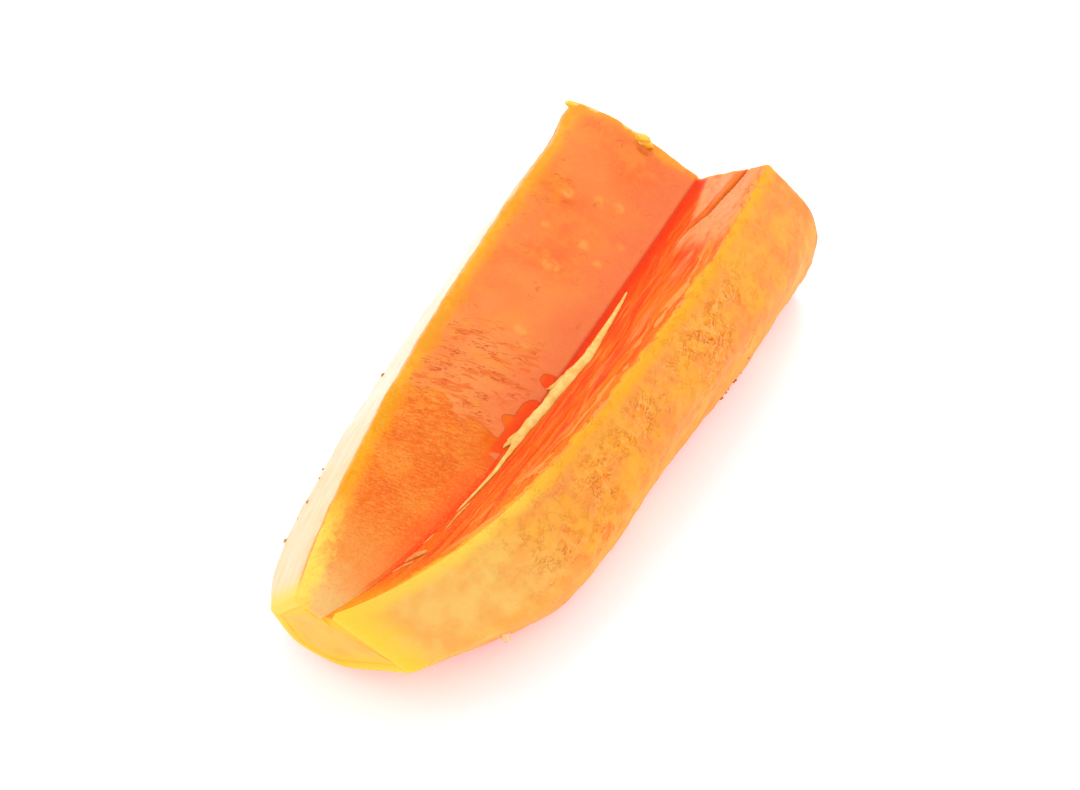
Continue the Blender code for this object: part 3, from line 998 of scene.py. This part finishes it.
    def outside_colour(self):
        """The pared outside, with its torn patches, the yellow rim and the cream left side, paled further
        by painted light.
        """
        light = self.ramp(self.blotch, 0.38, 0.62)
        cloud = self.weighed(self.blotch, 0.55, self.broad, 0.45)
        less_far = self.linear(self.ramp(self.along, 72, 45), 0.6, 0.3)
        flesh = self.mix(self.ramp(self.fine_blotch, 0.40, 0.60), (252, 162, 40), (253, 178, 80))
        near = self.ragged(self.along, self.broad, 50)
        smooth = self.mix(light, (254, 194, 104), (254, 212, 118))
        # painted light: the low part of the pared side is made brighter against the shade low on it
        low = self.mix(self.ramp(cloud, 0.40, 0.62), (252, 164, 24, 0.92), (253, 186, 40, 0.92))
        rim = self.mix(self.ramp(self.along, -20, -55), (253, 186, 62), (254, 224, 96))
        width = self.plus(self.ragged(self.past_rim, cloud, 9), self.ramp(self.along, -60, -20))
        behind = self.ramp(self.past_ridge, 0, 0.01)  # 0 on the trough's walls and on the cuts
        far_left = self.times(self.ramp(self.past_ridge, 16, 4), self.ramp(self.along, 46, 74))
        left = self.ramp(self.ragged(self.past_ridge, cloud, 20), 58, 16)
        not_far = self.ramp(self.ragged(self.along, cloud, 30), 84, 34)
        specks = self.ramp(self.noise(self.spot, 750, 2), 0.60, 0.66)
        tip = self.ragged(self.fact("from_near"), cloud, 8)
        return self.layered(
            self.mix(light, (252, 162, 88), (253, 176, 88)),
            ((254, 190, 66), self.ramp(cloud, 0.43, 0.62), self.linear(self.grain, 0.6, 0.5), less_far),
            (flesh, self.torn, 0.7),
            ((254, 188, 104), self.ramp(self.curls, 0.51, 0.60), self.torn),
            ((253, 186, 122), self.ramp(self.fibres, 0.56, 0.64), self.linear(self.torn, 0.5, 0.2)),
            ((254, 188, 78), self.ramp(self.fine_blotch, 0.46, 0.60), 0.35),
            (smooth, self.ramp(near, -28, -66)),
            (low, self.ramp(self.past_rim, 18, 30), 0.7),
            (rim, self.ramp(width, 5, 1)),
            ((222, 110, 20), self.hairs, 0.9),
            # the cream left side: pale flesh, whitened further as painted light
            (self.cream(cloud), left, behind, not_far),
            ((249, 168, 24), far_left, behind, 0.75),
            ((248, 174, 24), self.ramp(self.past_ridge, 2.8, 0.8), behind),
            ((206, 146, 60), specks, self.ramp(self.past_ridge, 6, 1), behind, 0.5),
            ((254, 230, 78), self.ramp(tip, 9, 1), 0.9),
        )

    def cream(self, cloud):
        """The left side's pale flesh with its faint long fibres, paled further by painted light from the
        lamp side, whiter towards the far end.
        """
        fibre = self.noise(self.vector(self.past_ridge, self.times(self.along, 0.05)), 0.6)
        faint = self.times(self.ramp(self.weighed(fibre, 0.5, cloud, 0.5), 0.40, 0.62), 0.7)
        white = self.mix(faint, (255, 246, 224), (254, 230, 190))
        cream = self.mix(faint, (254, 235, 198), (253, 217, 157))
        return self.mix(self.ramp(self.along, -52, -16), cream, white)

    def cut_colour(self, dark, light, border, share):
        """A plain cut through the flesh, with a border of another colour."""
        return self.mix(share, self.mix(self.ramp(self.blotch, 0.35, 0.65), dark, light), border)

    def fine_relief(self, face):
        """Relief that is finer than the mesh: grain, brushing, torn marks and the film's edge."""
        normal = self.bump(self.grain, 0.25, 0.00015)
        normal = self.bump(self.brushed, 0.25, 0.0003, normal)
        normal = self.bump(self.plus(self.hairs, self.ticks, self.smears), 0.25, -0.0002, normal)
        return self.bump(self.times(self.film, face), 0.5, 0.0002, normal)

    def build(self):
        lining, outside = self.fact("lining"), self.fact("outside")
        far_border, near_border = self.ramp(self.ragged_skin, 7, 1), self.ramp(self.skin, 6.5, 0.6)
        far_cut = self.cut_colour((251, 126, 62), (252, 142, 74), (253, 184, 76), far_border)
        blunt_cut = self.cut_colour((252, 196, 70), (253, 210, 84), (252, 216, 34), near_border)
        face = self.rest(outside)
        matt = self.times(self.linear(self.film, -0.7, 1), self.linear(face, 0.7, 0.3), self.rest(self.bay))
        wet = self.times(self.film, self.plus(face, self.times(lining, -0.9)))
        colour = self.layered(
            self.face_colour(),
            (self.lining_colour(), lining),
            (self.outside_colour(), outside),
            (far_cut, self.fact("far_cut")),
            (blunt_cut, self.fact("blunt_cut")),
            ((254, 214, 136), matt, self.ramp(self.grain, 0.45, 0.7), 0.18),
            ((240, 98, 20), matt, self.ramp(self.grain, 0.5, 0.3), 0.22),
        )
        return self.shade({
            "Base Color": colour,
            "Roughness": self.linear(wet, -0.14, 0.5),
            "Coat Weight": self.times(wet, 0.25),
            "Coat Roughness": 0.18,
            "Normal": self.fine_relief(face),
            "Specular IOR Level": 0.16,
            "Subsurface Weight": 0.35,
            "Subsurface Radius": (1, 0.35, 0.12),
            "Subsurface Scale": 0.003,
        })


def pale_material(name, light, dark, scale=500):
    """Pale, slightly see-through tissue."""
    look = Nodes(name)
    cloud = look.noise(look.place(), scale)
    return look.shade({
        "Base Color": look.mix(look.ramp(cloud, 0.35, 0.65), dark, light),
        "Roughness": 0.35,
        "Subsurface Weight": 0.3,
        "Subsurface Radius": (1, 0.6, 0.3),
        "Subsurface Scale": 0.001,
    })


# --- stage, light and camera ---

VIEW_AZIMUTH = math.radians(28)
VIEW_ELEVATION = math.radians(50)
VIEW_DISTANCE = 0.66
VIEW_LENS = 85
VIEW_TARGET = Vector(SET_DOWN * MM) + Vector((0, 0, GROOVE_Z * MM))
SKY_STRENGTH = 1.25
SOFTBOX_PLACE = (-0.27, 0.69, 0.75)
SOFTBOX_AIM = (0, 0, 0.02)
SOFTBOX_SIZE = 0.6
SOFTBOX_POWER = 4
FLOOR_REACH = 4


def look_at(thing, target):
    thing.rotation_euler = (target - thing.location).to_track_quat("-Z", "Y").to_euler()


def add_camera():
    data = bpy.data.cameras.new("camera")
    data.lens = VIEW_LENS
    data.sensor_width = 36
    data.clip_start = 0.01
    camera = bpy.data.objects.new("camera", data)
    bpy.context.scene.collection.objects.link(camera)
    back = Vector((math.sin(VIEW_AZIMUTH), -math.cos(VIEW_AZIMUTH), math.tan(VIEW_ELEVATION)))
    camera.location = VIEW_TARGET + back.normalized() * VIEW_DISTANCE
    look_at(camera, VIEW_TARGET)
    bpy.context.scene.camera = camera


def add_softbox():
    data = bpy.data.lights.new("softbox_back", "AREA")
    data.shape = "SQUARE"
    data.size = SOFTBOX_SIZE
    data.energy = SOFTBOX_POWER
    light = bpy.data.objects.new("softbox_back", data)
    bpy.context.scene.collection.objects.link(light)
    light.location = SOFTBOX_PLACE
    light.visible_glossy = False  # it would put a milky shine on the wet film
    look_at(light, Vector(SOFTBOX_AIM))


def floor_material():
    """A white sweep that glows red, a painted glow standing in for the red light that the flesh throws on
    it; it shows only in the shade round the piece.
    """
    return Nodes("white_floor").shade({
        "Base Color": (0.97, 0.97, 0.97, 1),
        "Roughness": 0.9,
        "Specular IOR Level": 0,
        "Emission Color": (1, 0.11, 0.20, 1),
        "Emission Strength": 0.8,
    })


def add_floor():
    data = bpy.data.meshes.new("floor")
    corners = [(x, y, 0) for x, y in ((-1, -1), (1, -1), (1, 1), (-1, 1))]
    data.from_pydata([Vector(c) * FLOOR_REACH for c in corners], [], [(0, 1, 2, 3)])
    data.materials.append(floor_material())
    floor = bpy.data.objects.new("floor", data)
    bpy.context.scene.collection.objects.link(floor)


def add_light():
    world = bpy.data.worlds.new("studio")
    bpy.context.scene.world = world
    world.use_nodes = True
    sky = world.node_tree.nodes["Background"]
    sky.inputs["Color"].default_value = (1, 1, 1, 1)
    sky.inputs["Strength"].default_value = SKY_STRENGTH
    add_softbox()


def add_small_pieces():
    strand = pale_material("strand_look", (254, 222, 134), (253, 198, 98))
    fibre = pale_material("fibre_look", (251, 178, 100), (249, 150, 72), 900)
    blob = pale_material("blob_look", (254, 240, 190), (253, 222, 150))
    # painted light: the flake is made brighter against the shade on its side away from the light
    flake = pale_material("flake_look", (254, 208, 84, 0.8), (253, 182, 50, 0.8))
    crumb_looks = {
        "right": pale_material("brown_crumb_look", (150, 130, 80), (74, 66, 44), 1500),
        "left": pale_material("tan_crumb_look", (226, 188, 128), (188, 140, 84), 1500),
    }
    spurs = [tube(track, 20 + k) for k, track in enumerate(SPURS)]
    add_joined("cavity_strand", [tube(STRAND, 3), *spurs], strand)
    add_joined("groove_fibres", [tube(track, 40 + k) for k, track in enumerate(FIBRES)], fibre)
    for name, (place, size) in LUMPS.items():
        add_joined(name, [lump(place, size, 7)], blob if name == "hanging_blob" else flake)
    for side, crumbs in CRUMBS.items():
        shapes = []
        for k, (degrees, y, radius) in enumerate(crumbs):
            size = (radius, radius * CRUMB_STRETCH, radius)
            shapes.append(lump(crumb_place(degrees, y, radius), size, 60 + k, roughness=0.5))
        add_joined(f"{side}_crumbs", shapes, crumb_looks[side])


flesh_piece(FleshLook().build())
add_small_pieces()
add_floor()
add_light()
add_camera()
bpy.context.scene.view_settings.view_transform = "Standard"
